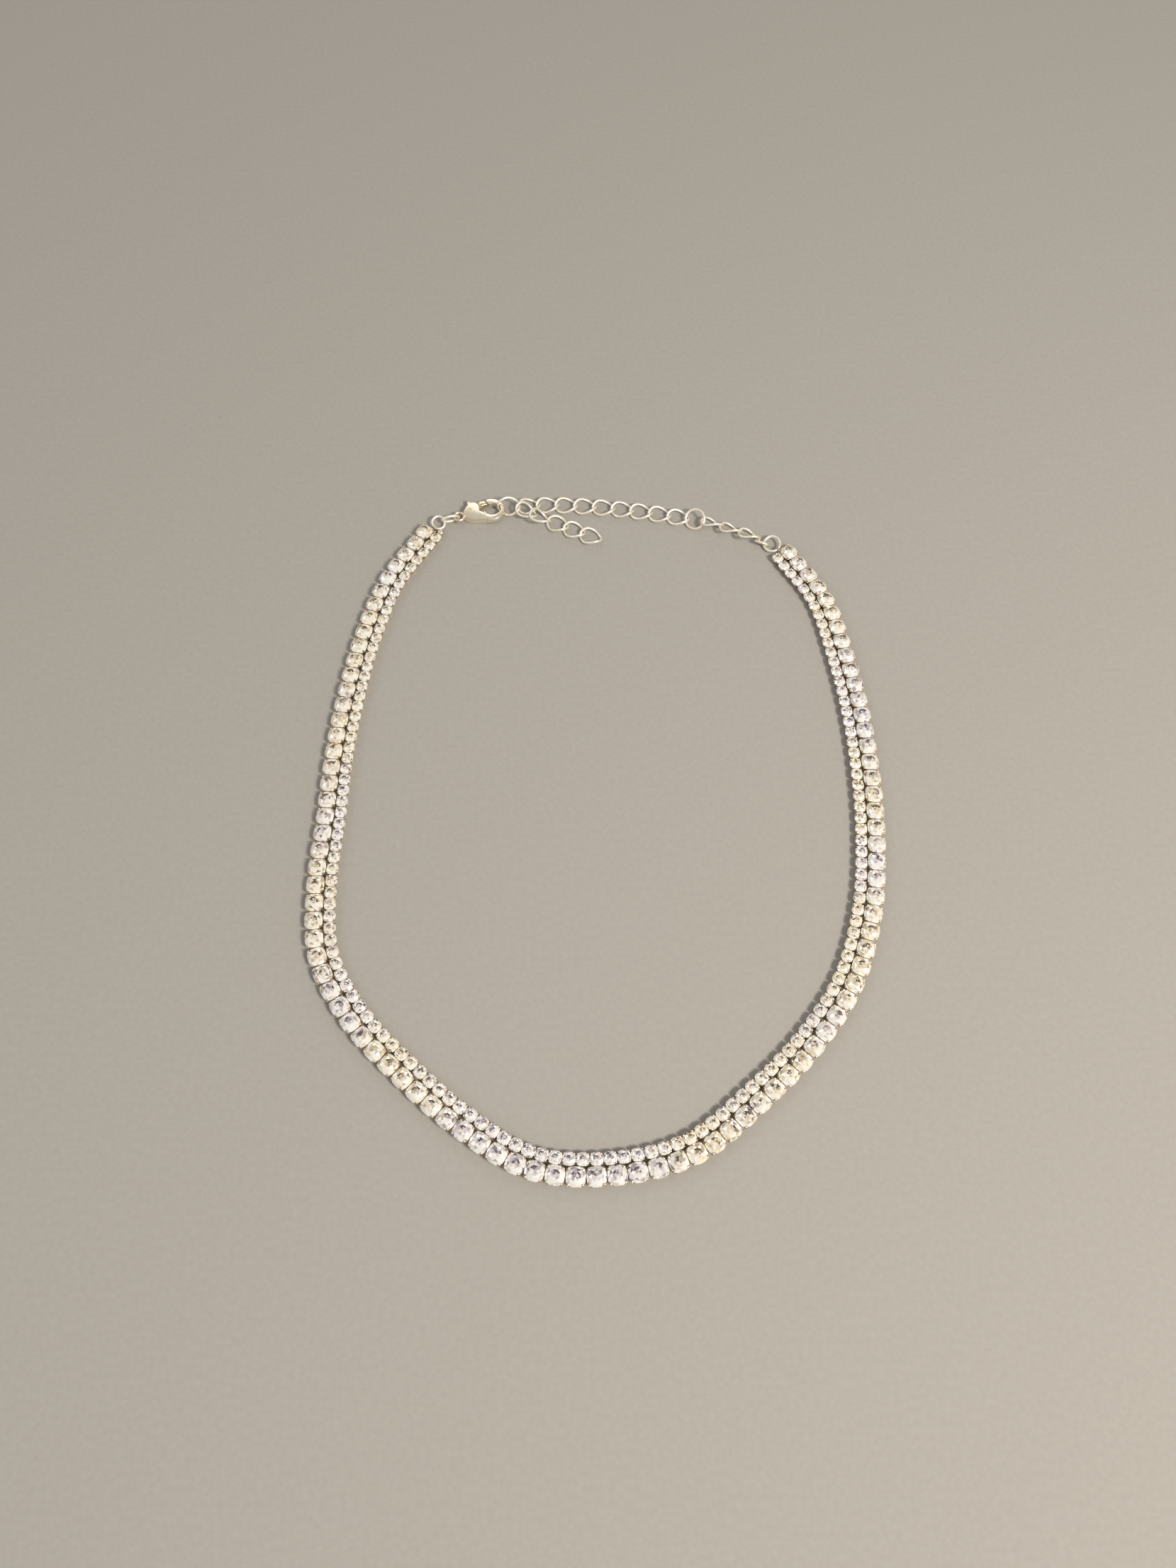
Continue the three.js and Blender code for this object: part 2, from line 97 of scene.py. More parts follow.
def add_node(tree, kind, settings=None, links=None):
    """A node with its settings: plain names are properties, and names or numbers in links are
    its inputs. A link's value is an output socket or a plain value."""
    node = tree.nodes.new(kind)
    for key, value in (settings or {}).items():
        setattr(node, key, value)
    for key, value in (links or {}).items():
        if isinstance(value, bpy.types.NodeSocket):
            tree.links.new(value, node.inputs[key])
        else:
            node.inputs[key].default_value = value
    return node


def new_material(name, shader_values):
    material = bpy.data.materials.new(name)
    material.use_nodes = True
    tree = material.node_tree
    shader = tree.nodes["Principled BSDF"]
    for key, value in shader_values.items():
        shader.inputs[key].default_value = value
    return material, tree, shader


def ramp_of(tree, factor, stops, interpolation="LINEAR"):
    ramp = add_node(tree, "ShaderNodeValToRGB", links={"Fac": factor})
    ramp.color_ramp.interpolation = interpolation
    elements = ramp.color_ramp.elements
    while len(elements) < len(stops):
        elements.new(0.5)
    for element, (position, colour) in zip(elements, stops):
        element.position = position
        element.color = linear(colour)
    return ramp.outputs["Color"]


def foiled_crystal():
    """Clear cut glass with a foiled back, drawn opaque. Each facet's colour is a painted reflection
    of another part of the room, so it is white, cream, pale lilac or now and then dark, and all of
    it is glossy."""
    material, tree, shader = new_material("cut_crystal_painted_reflections", {
        "Roughness": 0.06, "Metallic": 0.4, "IOR": 1.6,
        "Coat Weight": 1.0, "Coat Roughness": 0.02,
    })
    # Each facet's painted reflection tone, stored on the stone's faces.
    tone = add_node(tree, "ShaderNodeAttribute", {"attribute_name": "painted_reflection_tone"}).outputs["Fac"]
    place = add_node(tree, "ShaderNodeTexCoord")
    # The painted reflections' room tint drifts from cool to warm round the necklace over about 30
    # mm.
    drift = add_node(tree, "ShaderNodeTexNoise", links={
        "Vector": place.outputs["Object"], "Scale": 32.0, "Detail": 1.0, "Roughness": 0.5})
    # The painted reflection colour for each tone, in the cool and in the warm room tint.
    cool = ramp_of(tree, tone, [(start, cool) for start, cool, _ in PAINTED_REFLECTION_TONES], "CONSTANT")
    warm = ramp_of(tree, tone, [(start, warm) for start, _, warm in PAINTED_REFLECTION_TONES], "CONSTANT")
    share = ramp_of(tree, drift.outputs["Fac"], [(0.42, "#000000"), (0.58, "#ffffff")])
    mixed = add_node(tree, "ShaderNodeMix", {"data_type": "RGBA"}, {
        MIX_SHARE: share, MIX_FIRST: cool, MIX_SECOND: warm})
    tree.links.new(mixed.outputs[MIX_RESULT], shader.inputs["Base Color"])
    return material


def plated_metal(name, colour, worn_colour, roughness, grain_mm, metallic=1.0):
    """Silver plating on brass, tumbled bright. Handling leaves faint cloudy patches and fine
    scratches of the grain's size, drawn a little coarse so that they show."""
    material, tree, shader = new_material(name, {"Metallic": metallic, "Roughness": roughness})
    place = add_node(tree, "ShaderNodeTexCoord")
    cloud = add_node(tree, "ShaderNodeTexNoise", links={
        "Vector": place.outputs["Object"], "Scale": 1 / (grain_mm * CLOUD_GRAINS * MM),
        "Detail": 3.0})
    tint = ramp_of(tree, cloud.outputs["Fac"], [(0.35, worn_colour), (0.62, colour)])
    tree.links.new(tint, shader.inputs["Base Color"])
    gloss = add_node(tree, "ShaderNodeMapRange", links={
        "Value": cloud.outputs["Fac"], "From Min": 0.3, "From Max": 0.7,
        "To Min": roughness + CLOUD_DULLS, "To Max": roughness})
    tree.links.new(gloss.outputs["Result"], shader.inputs["Roughness"])
    scratch = add_node(tree, "ShaderNodeTexNoise", links={
        "Vector": place.outputs["Object"], "Scale": 1 / (grain_mm * MM), "Detail": 4.0})
    bump = add_node(tree, "ShaderNodeBump", links={
        "Height": scratch.outputs["Fac"], "Strength": 0.12, "Distance": SCRATCH_DEPTH})
    tree.links.new(bump.outputs["Normal"], shader.inputs["Normal"])
    return material


def pale_paper():
    material, tree, shader = new_material("pale_paper", {"Roughness": 0.85})
    place = add_node(tree, "ShaderNodeTexCoord")
    fibre = add_node(tree, "ShaderNodeTexNoise", links={
        "Vector": place.outputs["Object"], "Scale": 900.0, "Detail": 4.0})
    tint = ramp_of(tree, fibre.outputs["Fac"], [(0.3, "#9d9a95"), (0.7, "#a29f9a")])
    tree.links.new(tint, shader.inputs["Base Color"])
    return material


CRYSTAL = foiled_crystal()
SETTING_METAL = plated_metal(
    "rhodium_plated_settings", "#ece2d2", "#d8c9b2", roughness=0.28, grain_mm=0.3)
WIRE_METAL = plated_metal(
    "silver_plated_wire", "#fffaee", "#f0e8d6", roughness=0.28, grain_mm=0.3, metallic=0.7)
CLASP_METAL = plated_metal(
    "polished_clasp_casting", "#fbf3e2", "#f0e0c8", roughness=0.2, grain_mm=0.9, metallic=0.9)
LEVER_METAL = plated_metal(
    "polished_lever_casting", "#f3e6c9", "#d9c096", roughness=0.18, grain_mm=0.5)


# ---- Pieces. Their shapes are built in millimetres.
MERGE = 0.0005  # corners nearer than this are one
LEVEL = 1e-6  # an edge that rises less than this is level
SETTING_CREASE = 35  # degrees: a sharper edge stays sharp
CLASP_CREASE = 40


def make_piece(name, shape, material, nodes, body="necklace", smooth=True):
    """Turns a bmesh in millimetres into a finished piece that rides on its body."""
    bmesh.ops.scale(shape, vec=(MM, MM, MM), verts=shape.verts)
    mesh = bpy.data.meshes.new(name)
    shape.to_mesh(mesh)
    shape.free()
    if smooth:
        mesh.shade_smooth()
    mesh.materials.append(material)
    piece = bpy.data.objects.new(name, mesh)
    bpy.context.scene.collection.objects.link(piece)
    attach(piece, body)
    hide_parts(*nodes)
    return piece


def merge_into(whole, part, matrix=None):
    """Adds a placed copy of one bmesh to another."""
    copy = bpy.data.meshes.new("copy")
    part.to_mesh(copy)
    if matrix:
        copy.transform(matrix)
    whole.from_mesh(copy)
    bpy.data.meshes.remove(copy)


def place_at(spot, turn=0.0, tilt=0.0, roll=0.0):
    """A frame at a spot, turned about Z, Y and X in that order, in degrees."""
    euler = Euler([math.radians(a) for a in (roll, tilt, turn)], "XYZ")
    return Matrix.Translation(Vector(spot)) @ euler.to_matrix().to_4x4()


def rise_of(edge):
    return abs(edge.verts[0].co.z - edge.verts[1].co.z)


def round_edges(shape, edges, offset, segments, clamp=False):
    bmesh.ops.bevel(
        shape, geom=edges, offset=offset, segments=segments, profile=0.5, affect="EDGES",
        material=-1, clamp_overlap=clamp)


def spun_ring(radius, half_wide, half_thick, sides, steps, height=0.0):
    """A closed ring round the Z axis, with an oval section."""
    shape = bmesh.new()
    section = bmesh.ops.create_circle(
        shape, segments=sides, radius=1,
        matrix=Matrix.Translation((radius, 0, height)) @ Matrix.Rotation(QUARTER, 4, "X")
        @ Matrix.Diagonal((half_wide, half_thick, 1, 1)))
    bmesh.ops.spin(
        shape, geom=section["verts"] + list(shape.edges), cent=(0, 0, 0), axis=(0, 0, 1),
        angle=WHOLE, steps=steps, use_merge=True, use_duplicate=False)
    bmesh.ops.remove_doubles(shape, verts=shape.verts, dist=MERGE)
    bmesh.ops.recalc_face_normals(shape, faces=shape.faces)
    return shape


# Stones and settings. Rings of corners are given by their radius and height.
LARGE = {
    "table": (1.02, 2.6), "star": (1.56, 2.26), "girdle": (1.95, 1.72), "girdle_thick": 0.15,
    "foot": 2.6, "width": 3.8, "height": 1.6, "corner": 0.8,
    "claw_reach": 1.44, "claw_radius": 0.27, "claw_height": 1.84, "claw_tip": 0.36,
}
SMALL = {
    "table": (0.68, 2.0), "star": (1.05, 1.82), "girdle": (1.31, 1.52), "girdle_thick": 0.12,
    "foot": 1.7, "width": 2.5, "height": 1.42, "corner": 0.5,
    "claw_reach": 0.97, "claw_radius": 0.18, "claw_height": 1.6, "claw_tip": 0.26,
}
FACETS = 8
POINT = (0.4, 0.35)  # the stone's flat point, as shares of its girdle's radius and height
CUSHION = 3  # the outline's power: 2 is round, and more is squarer
TABLE_INSET = 0.42  # how far in the table's inner facets begin, as a share of its radius
SAME_FACET = 1  # degrees between faces of one facet
CLAW_SIDES = 6
CLAW_TIP_RINGS = 4
CLAW_TAPER = 0.9
CLAW_ROOT = 0.3  # where a claw begins, as a share of the setting's height
CORNER_STEPS = 3
RIM_SHARE = 0.6  # the rim's width, as a share of a claw's radius
RIM_DEPTH = 0.12


def ring_of(shape, radius, height, count, turn_share=0.0):
    turn = Matrix.Rotation(turn_share * WHOLE / count, 4, "Z")
    bmesh.ops.create_circle(
        shape, segments=count, radius=radius, matrix=Matrix.Translation((0, 0, height)) @ turn)


def top_face(shape):
    return max(shape.faces, key=lambda face: face.calc_center_median().z)


def cut_stone(size):
    """A cushion-shaped brilliant: a table, star and kite facets, a girdle and a pavilion."""
    shape = bmesh.new()
    girdle, high = size["girdle"]
    ring_of(shape, *size["table"], FACETS, 0.5)
    ring_of(shape, *size["star"], FACETS)
    ring_of(shape, girdle, high, 2 * FACETS)
    ring_of(shape, girdle, high - size["girdle_thick"], 2 * FACETS)
    ring_of(shape, girdle * POINT[0], high * POINT[1], FACETS)
    for vert in shape.verts:
        # The outline swells towards the setting's corners.
        radius = math.hypot(vert.co.x, vert.co.y)
        squared = abs(vert.co.x) ** CUSHION + abs(vert.co.y) ** CUSHION
        swell = radius / squared ** (1 / CUSHION)
        share = (radius / girdle) ** 2
        vert.co.x *= 1 + (swell - 1) * share
        vert.co.y *= 1 + (swell - 1) * share
    bmesh.ops.convex_hull(shape, input=shape.verts)
    bmesh.ops.dissolve_limit(
        shape, angle_limit=math.radians(SAME_FACET), verts=shape.verts, edges=shape.edges)
    top = top_face(shape)
    bmesh.ops.inset_individual(shape, faces=[top], thickness=size["table"][0] * TABLE_INSET)
    bmesh.ops.poke(shape, faces=[top])
    bmesh.ops.recalc_face_normals(shape, faces=shape.faces)
    return shape


def claw_post(size):
    """One claw: a post from the setting's corner and the rounded tip that grips the stone."""
    thick = size["claw_radius"]
    top = Vector((size["claw_reach"], size["claw_reach"], size["claw_height"]))
    shape = bmesh.new()
    bmesh.ops.create_uvsphere(
        shape, u_segments=CLAW_SIDES, v_segments=CLAW_TIP_RINGS, radius=1,
        matrix=place_at(top) @ Matrix.Diagonal((thick, thick, size["claw_tip"], 1)))
    inset = size["foot"] / 2 - thick / 2
    low = Vector((inset, inset, size["height"] * CLAW_ROOT))
    run = top - low
    turn = run.to_track_quat("Z", "Y").to_matrix().to_4x4()
    bmesh.ops.create_cone(
        shape, segments=CLAW_SIDES, radius1=thick, radius2=thick * CLAW_TAPER, depth=run.length,
        cap_ends=True, matrix=Matrix.Translation((low + top) / 2) @ turn)
    return shape


def claw_setting(size):
    """A square cup that widens upwards, hollow under the stone, with a claw at each corner."""
    shape = bmesh.new()
    high = size["height"]
    bmesh.ops.create_cone(
        shape, segments=4, radius1=size["foot"] / math.sqrt(2),
        radius2=size["width"] / math.sqrt(2), depth=high, cap_ends=True,
        matrix=place_at((0, 0, high / 2), 45))
    upright = [e for e in shape.edges if rise_of(e) > high / 2]
    round_edges(shape, upright, size["corner"], CORNER_STEPS)
    lid = top_face(shape)
    bmesh.ops.inset_individual(shape, faces=[lid], thickness=size["claw_radius"] * RIM_SHARE)
    bmesh.ops.translate(shape, vec=(0, 0, -RIM_DEPTH), verts=lid.verts)
    claw = claw_post(size)
    for quarter in range(4):
        merge_into(shape, claw, Matrix.Rotation(quarter * QUARTER, 4, "Z"))
    claw.free()
    return shape


# Rows of stones.
FLOOR_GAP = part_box("large_stone_row")[0].z / MM  # from the table to the settings' undersides
LARGE_TABLES_FROM = 2.48  # the solids' tables are the flat faces above this height
SMALL_TABLES_FROM = 1.83
FLAT = 0.99  # the least upward part of a flat face's direction
SAME_CORNER = 0.005 * MM


def row_places(node, tables_from):
    """Where a row's stones are and how they are turned, in mm, from the row's table faces, in
    order from the left end round the front to the right end."""
    shape = bmesh.new()
    shape.from_mesh(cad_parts[node].data)
    bmesh.ops.remove_doubles(shape, verts=shape.verts, dist=SAME_CORNER)
    shape.verts.index_update()
    level = tables_from * MM
    tops = {f for f in shape.faces if f.normal.z > FLAT and f.calc_center_median().z > level}
    centres = []
    while tops:
        island = [tops.pop()]
        for face in island:
            near = {f for v in face.verts for f in v.link_faces if f in tops}
            tops -= near
            island.extend(near)
        verts = sorted({v for f in island for v in f.verts}, key=lambda v: v.index)
        centres.append(sum((v.co for v in verts), Vector()) / len(verts) / MM)
    shape.free()
    centres.sort(key=lambda c: math.atan2(-c.x, c.y) % WHOLE)
    places = []
    for i, centre in enumerate(centres):
        before = centres[max(i - 1, 0)]
        after = centres[min(i + 1, len(centres) - 1)]
        run = after - before
        places.append((Vector((centre.x, centre.y, FLOOR_GAP)), math.atan2(run.y, run.x)))
    return places


# The painted reflection tones of a stone's facets. A tone runs from 0, dark, to 1, white.
TABLE_TONE = 0.44
TABLE_FALL = 0.42  # how much dimmer the table's far edge is painted than its middle: a painted dim reflection
TABLE_SPREAD = 0.32
TABLE_SKIN = 0.05  # facets whose middle is this near the table's height belong to it
CROWN_TONE = 0.1  # the least tone of a crown facet
CROWN_SPREAD = 0.9
CROWN_POWER = 0.58  # below 1, so that bright facets are more common
# how much dimmer the crown's far facets are painted: a painted dim reflection
CROWN_FALL = 0.08
DARKEST = 0.02
STRAY_TURN = 0.03  # radians


def paint_facet_reflections(shape, size, turn, rng):
    """Paints into each facet of a stone that is turned this way the share of the room's light that
    it
    would throw back: painted reflections of bright windows on the crown, and of a dim wall on the
    far part of the table."""
    tones = shape.faces.layers.float.get("painted_reflection_tone") or shape.faces.layers.float.new("painted_reflection_tone")
    wide, high = size["table"]
    for face in shape.faces:
        middle = face.calc_center_median()
        far = (middle.x * math.sin(turn) + middle.y * math.cos(turn)) / wide
        if middle.z > high - TABLE_SKIN:
            tone = TABLE_TONE - TABLE_FALL * far + rng.uniform(-TABLE_SPREAD, TABLE_SPREAD)
        else:
            tone = CROWN_TONE + CROWN_SPREAD * rng.random() ** CROWN_POWER - CROWN_FALL * far
        face[tones] = min(max(tone, DARKEST), 1)


def row_of_stones(name, node, places, size, seed):
    rng = random.Random(seed)
    stones = bmesh.new()
    # Every stone face carries its painted reflection tone.
    stones.faces.layers.float.new("painted_reflection_tone")
    one = cut_stone(size)
    settings = bmesh.new()
    setting = claw_setting(size)
    for spot, turn in places:
        # No two settings hang quite straight on the band.
        turn += rng.uniform(-STRAY_TURN, STRAY_TURN)
        here = place_at(spot) @ Matrix.Rotation(turn, 4, "Z")
        # Painted reflections: each facet's tone is set afresh for this stone's turn.
        paint_facet_reflections(one, size, turn, rng)
        merge_into(stones, one, here)
        merge_into(settings, setting, here)
    for (start, _), (end, _) in zip(places, places[1:]):
        add_band_link(settings, start, end, size)
    one.free()
    setting.free()
    make_piece(name + "_stones", stones, CRYSTAL, [node], smooth=False)
    return settings


# The flat tabs of the band, in mm.
TAB_WIDTH = 0.8
TAB_THICK = 0.5
TAB_HEIGHT = 0.57  # of its middle above the settings' undersides
TAB_OVERLAP = 0.7  # how far a tab's two ends reach into the settings, together


def add_tab(whole, start, end, length):
    """A flat tab midway between two places, along the line from one to the other."""
    run = end - start
    middle = (start + end) / 2 + Vector((0, 0, TAB_HEIGHT))
    turn = Matrix.Rotation(math.atan2(run.y, run.x), 4, "Z")
    bmesh.ops.create_cube(
        whole, size=1, matrix=Matrix.Translation(middle) @ turn
        @ Matrix.Diagonal((length, TAB_WIDTH, TAB_THICK, 1)))


def add_band_link(whole, start, end, size):
    """The flat tab that ties one setting's foot to the next."""
    add_tab(whole, start, end, (end - start).length - size["foot"] + TAB_OVERLAP)


def finish_settings(name, node, settings):
    piece = make_piece(name, settings, SETTING_METAL, [node])
    piece.data.set_sharp_from_angle(angle=math.radians(SETTING_CREASE))


# The loop at each end of the band and the bead beside the left one, in mm.
END_REACHES = (2.6, 2.3)  # from the last large stone, at the left and at the right end
END_INWARDS = 1.65
END_HEIGHT = 1.01
END_RADIUS = 0.68
END_WIRE = 0.21  # radius
END_SIDES = 8
END_STEPS = 20
END_FOOT = 0.52  # from the loop's middle to its wire, at the height of its foot
BEAD_RADIUS = 0.9
BEAD_STEP = 2.1
BEAD_SEGMENTS = 20
BEAD_RINGS = 12


def add_end_loops(settings, places):
    """The upright loop on a flat foot at each end of the band, between its two rows."""
    left, right = END_REACHES
    for (spot, turn), outwards, reach in ((places[0], -1, left), (places[-1], 1, right)):
        along = Vector((math.cos(turn), math.sin(turn), 0))
        inwards = Vector((-along.y, along.x, 0))
        eye = spot + along * outwards * reach + inwards * END_INWARDS
        eye.z = FLOOR_GAP + END_HEIGHT
        loop = spun_ring(END_RADIUS, END_WIRE, END_WIRE, END_SIDES, END_STEPS)
        across = math.atan2(inwards.y, inwards.x) - QUARTER
        merge_into(settings, loop, Matrix.Translation(eye) @ Matrix.Rotation(across, 4, "Z")
                   @ Matrix.Rotation(QUARTER, 4, "X"))
        loop.free()
        foot_end = Vector((eye.x, eye.y, spot.z)) - along * outwards * END_FOOT
        add_tab(settings, spot, foot_end, (foot_end - spot).length)


def add_end_bead(settings, places):
    """The smooth round bead before the first small setting."""
    spot, turn = places[0]
    along = Vector((math.cos(turn), math.sin(turn), 0))
    middle = spot - along * BEAD_STEP
    bmesh.ops.create_uvsphere(
        settings, u_segments=BEAD_SEGMENTS, v_segments=BEAD_RINGS, radius=BEAD_RADIUS,
        matrix=Matrix.Translation(middle + Vector((0, 0, BEAD_RADIUS))))
    add_band_link(settings, middle, spot, SMALL)


def add_rows():
    large_places = row_places("large_stone_row", LARGE_TABLES_FROM)
    small_places = row_places("small_stone_row", SMALL_TABLES_FROM)
    large_settings = row_of_stones("large_row", "large_stone_row", large_places, LARGE, seed=4)
    add_end_loops(large_settings, large_places)
    finish_settings("large_row_settings", "large_stone_row", large_settings)
    small_settings = row_of_stones("small_row", "small_stone_row", small_places, SMALL, seed=9)
    add_end_bead(small_settings, small_places)
    finish_settings("small_row_settings", "small_stone_row", small_settings)


# Wire loops.
WIRE = 0.32  # radius
LOOP_SIDES = 10
LOOP_STEPS = 36
LINK_LENGTH = 6.1
LINK_WIDTH = 4.9
TWIST = 33


def rolled(roll):
    """A chain link's length, its width and its wire's roll at its two ends."""
    return (LINK_LENGTH, LINK_WIDTH, TWIST + roll, roll - TWIST)


CHAIN = rolled(0)
# Each loop's middle, its turns about Z, Y and X, and its length, width and rolls as above.
LOOPS = {
    "clasp_ring": ((-39.680, 74.615, 1.466), (25.8, -2, 9), (3.8, 3.8, 12, 12)),
    "clasp_link": ((-36.774, 75.770, 1.496), (16.93, 6, -27), (4.95, 2.9, -55, -55)),
    "chain_link_1": ((-22.382, 79.340, 1.866), (-3.31, -0.8, 20.79), rolled(18)),
    "chain_link_2": ((-17.396, 80.136, 0.976), (5.54, 0, 0), CHAIN),
    "chain_link_3": ((-12.695, 80.415, 0.976), (1.4, 0, 0), CHAIN),
    "chain_link_4": ((-7.988, 80.326, 0.976), (-3.05, 0, 0), CHAIN),
    "chain_link_5": ((-3.290, 79.994, 0.976), (-4.58, 0, 0), CHAIN),
    "chain_link_6": ((1.402, 79.578, 0.976), (-5.87, 0, 0), CHAIN),
    "chain_link_7": ((6.079, 79.025, 0.976), (-7.62, 0, 0), CHAIN),
    "chain_link_8": ((10.737, 78.332, 0.976), (-9.22, 0, 0), CHAIN),
    "chain_link_9": ((15.377, 77.526, 0.976), (-10.49, 0, 0), CHAIN),
    "chain_link_10": ((19.995, 76.600, 0.976), (-12.22, 0, 0), CHAIN),
    "middle_ring": ((24.110, 75.548, 1.656), (-20.06, -6, 3), (5.4, 5.4, 30, 30)),
    "leaning_link_1": ((28.328, 74.064, 1.966), (-20.55, 0, 0), rolled(-38)),
    "leaning_link_2": ((32.854, 72.321, 1.916), (-21.25, 0, 0), rolled(-35)),
    "leaning_link_3": ((37.357, 70.521, 1.916), (-24.78, 0, 0), rolled(-35)),
    "short_link": ((40.281, 68.563, 1.276), (-19.01, 6, 13), (3.9, 2.9, -70, -70)),
    "end_ring": ((42.871, 68.305, 1.236), (-25.59, -1, 12), (4.6, 4.6, 2, 2)),
    "tail_link_1": ((-17.832, 78.030, 1.766), (-18, 21, 1), rolled(-12)),
    "tail_link_2": ((-14.372, 76.000, 2.026), (-13.14, 22.64, 16.79), rolled(-38)),
    "tail_link_3": ((-10.062, 74.510, 0.976), (-25, 0, 0), CHAIN),
    "tail_link_4": ((-5.962, 72.610, 0.976), (-25, 0, 0), CHAIN),
    "tail_link_5": ((-1.862, 70.710, 0.976), (-25, 0, 0), CHAIN),
}


def wire_loop(length, width, roll_start, roll_end):
    """A closed loop of round wire, oval where its length and width differ, and twisted from one
    end to the other as curb chain is."""
    half_long = length / 2 - WIRE
    half_wide = width / 2 - WIRE
    shape = spun_ring(half_wide, WIRE, WIRE, LOOP_SIDES, LOOP_STEPS)
    stretch = half_long - half_wide
    for vert in shape.verts:
        share = vert.co.x / math.hypot(vert.co.x, vert.co.y)
        vert.co.x += stretch * share
        reach = (share + 1) / 2
        roll = math.radians(roll_start + (roll_end - roll_start) * reach)
        bmesh.ops.rotate(
            shape, verts=[vert], cent=(0, 0, 0), matrix=Matrix.Rotation(roll, 3, "X"))
    return shape


def add_loops():
    for name, (spot, (turn, tilt, roll), (length, width, start, end)) in LOOPS.items():
        shape = wire_loop(length, width, start, end)
        bmesh.ops.transform(shape, matrix=place_at(spot, turn, tilt, roll), verts=shape.verts)
        make_piece(name + "_wire", shape, WIRE_METAL, [name])


# The lobster clasp, measured as its solids are: from its eye, along, across and up, in mm.
# Angles are in degrees.
CLASP_FRAME = place_at((-34.654, 76.457, 0.016), 14.26)
PIVOT = (3.2, 1.2)
BOW = ((8.2, 0.0), (3.25, 3.25))  # the middle and the radii of the hook's outer round
HOLE = ((8.55, 0.0), (2.05, 1.7))
BOW_START, HOOK_TIP, HOLE_END = -125, 106, -180
BOW_FACETS = 24
NEAR_SIDE = [
    (1.15, -0.7), (1.5, -0.98), (1.95, -1.36), (2.6, -1.72), (3.4, -2.0), (4.4, -2.2), (5.4, -2.42)]
HOOK_ROOT = [(5.9, -0.75), (4.8, -1.1), (2.9, -0.25), (2.15, 0.2)]
CHEEK_FRONT = [(6.3, -2.5), (6.45, -0.9), (5.73, -0.18)]
CHEEK_ROUND = (2.3, -28, 50, 8)  # radius round the pivot, start, end and facets
CHEEK_FAR_SIDE = [
    (4.2, 3.05), (3.7, 3.08), (3.2, 2.95), (2.7, 2.62), (2.2, 2.15), (1.65, 1.45), (1.15, 0.7)]
SPINE_INSET = 0.03
SPINE_INSIDE = [(6.2, -2.4), (6.4, -1.0), (4.8, -1.15), (2.9, -0.3), (1.75, 0.0), (1.2, 0.1)]
HEEL_ROUND = (1.15, 200, 290, 6)
WEB_INSIDE = [(6.2, 1.35), (7.0, 1.75), (6.6, 2.7), (4.6, 2.75), (3.9, 3.1)]
NUB_STEM = [(3.7, 3.9), (2.7, 3.9), (2.6, 2.4)]
GATE_ROUND = (2.42, 40, 6, 4)
GATE_TIP = [(6.5, 1.6), (7.66, 1.68), (7.06, 3.08), (5.9, 3.02)]
# Each plate's underside and top, its edges' rounding and that rounding's steps.
HOOK_PLATE = (0.8, 1.9, 0.42, 4)
LOWER_CHEEK = (0.02, 0.58, 0.24, 3)
UPPER_CHEEK = (1.62, 2.22, 0.28, 4)
SPINE_PLATE = (0.05, 2.19, 0.26, 3)
WEB_PLATE = (0.65, 1.55, 0.14, 2)
GATE_PLATE = (0.75, 1.95, 0.26, 3)
# The steps by which the thick body thins out into the bow: where each ends, and its plate.
BOW_STEPS = (
    (-114, (0.17, 2.11, 0.2, 3)), (-106, (0.33, 2.04, 0.2, 3)), (-98, (0.5, 1.98, 0.2, 3)))
STEP_INSET = 0.02
STEP_INSIDE = 1.95  # radius
STEP_STARTS = (-128, -138)  # outside and inside
STEP_FACETS = 6
EYE = {"radius": 1.22, "half_wide": 0.33, "half_thick": 0.45, "sides": 10, "steps": 28,
       "height": 1.35}
NUB_PLACE = (3.2, 4.0, 1.1)
NUB_RADIUS = 0.62
NUB_FLATTEN = 0.85
NUB_SEGMENTS = 16
NUB_RINGS = 10
PIN_RADIUS = 0.45
PIN_LENGTH = 2.22
PIN_MIDDLE = 1.14
PIN_SIDES = 20
PIN_ROUNDING = (0.1, 2)


def arc(centre, radii, start, end, steps):
    """Points on an oval round a centre, from one angle to another."""
    turns = [math.radians(start + (end - start) * i / steps) for i in range(steps + 1)]
    return [(centre[0] + radii[0] * math.cos(a), centre[1] + radii[1] * math.sin(a))
            for a in turns]


def round_the_pivot(radius, start, end, steps):
    return arc(PIVOT, (radius, radius), start, end, steps)


def plate(outline, low, high, rounding, segments):
    """A flat plate with rounded edges over an outline."""
    shape = bmesh.new()
    face = shape.faces.new([shape.verts.new((x, y, low)) for x, y in outline])
    grown = bmesh.ops.extrude_face_region(shape, geom=[face])
    lifted = [v for v in grown["geom"] if isinstance(v, bmesh.types.BMVert)]
    bmesh.ops.translate(shape, vec=(0, 0, high - low), verts=lifted)
    bmesh.ops.recalc_face_normals(shape, faces=shape.faces)
    rims = [e for e in shape.edges if rise_of(e) < LEVEL]
    round_edges(shape, rims, rounding, segments, clamp=True)
    return shape


